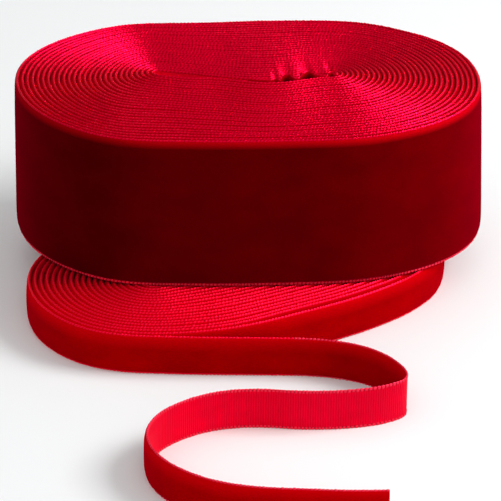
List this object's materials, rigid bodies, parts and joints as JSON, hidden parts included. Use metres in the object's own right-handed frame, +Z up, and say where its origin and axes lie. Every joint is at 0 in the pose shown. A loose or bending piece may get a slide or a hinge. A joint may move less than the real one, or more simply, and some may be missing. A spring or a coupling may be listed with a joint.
{
  "type": "ribbon roll",
  "caption": "Wide flat-wound velvet ribbon roll standing on a narrow one, whose free end peels off and runs out over the surface in open bends.",
  "frame": {"origin": "on the floor under the middle of the wide roll", "axes": "+Z up, +X along the wide roll's long axis, -Y towards the free end of the narrow ribbon"},
  "size_m": [0.1145, 0.1766, 0.0482],
  "materials": {
    "velvet": "deep pile, matt with a pale sheen at grazing angles",
    "woven_back": "fine ribbed satin weave",
    "selvedge": "beaded loops of glossy yarn"
  },
  "bodies": {
    "narrow_roll": {"narrow_woven_back": "woven_back", "narrow_velvet_pile": "velvet", "narrow_upper_selvedge": "selvedge", "narrow_lower_selvedge": "selvedge"},
    "wide_roll": {"wide_woven_back": "woven_back", "wide_velvet_pile": "velvet", "wide_upper_selvedge": "selvedge", "wide_lower_selvedge": "selvedge"},
    "peel_span": {"peel_span_woven_back": "woven_back", "peel_span_velvet_pile": "velvet", "peel_span_upper_selvedge": "selvedge", "peel_span_lower_selvedge": "selvedge"},
    "return_span": {"return_span_woven_back": "woven_back", "return_span_velvet_pile": "velvet", "return_span_upper_selvedge": "selvedge", "return_span_lower_selvedge": "selvedge"},
    "cut_span": {"cut_span_woven_back": "woven_back", "cut_span_velvet_pile": "velvet", "cut_span_upper_selvedge": "selvedge", "cut_span_lower_selvedge": "selvedge"}
  },
  "joints": [
    {"name": "wide_roll_lift", "type": "slide", "parent": "narrow_roll", "child": "wide_roll", "axis": [0, 0, 1], "range_m": [0, 0.06]},
    {"name": "peel_hinge", "type": "hinge", "parent": "narrow_roll", "child": "peel_span", "pos_m": [-0.0279, -0.06219, 0.005], "axis": [0, 0, -1], "range_deg": [0, 20]},
    {"name": "right_bend_hinge", "type": "hinge", "parent": "peel_span", "child": "return_span", "pos_m": [0.02893, -0.08433, 0.005], "axis": [0, 0, 1], "range_deg": [-15, 15]},
    {"name": "left_bend_hinge", "type": "hinge", "parent": "return_span", "child": "cut_span", "pos_m": [-0.03182, -0.10993, 0.005], "axis": [0, 0, 1], "range_deg": [-15, 15]}
  ]
}
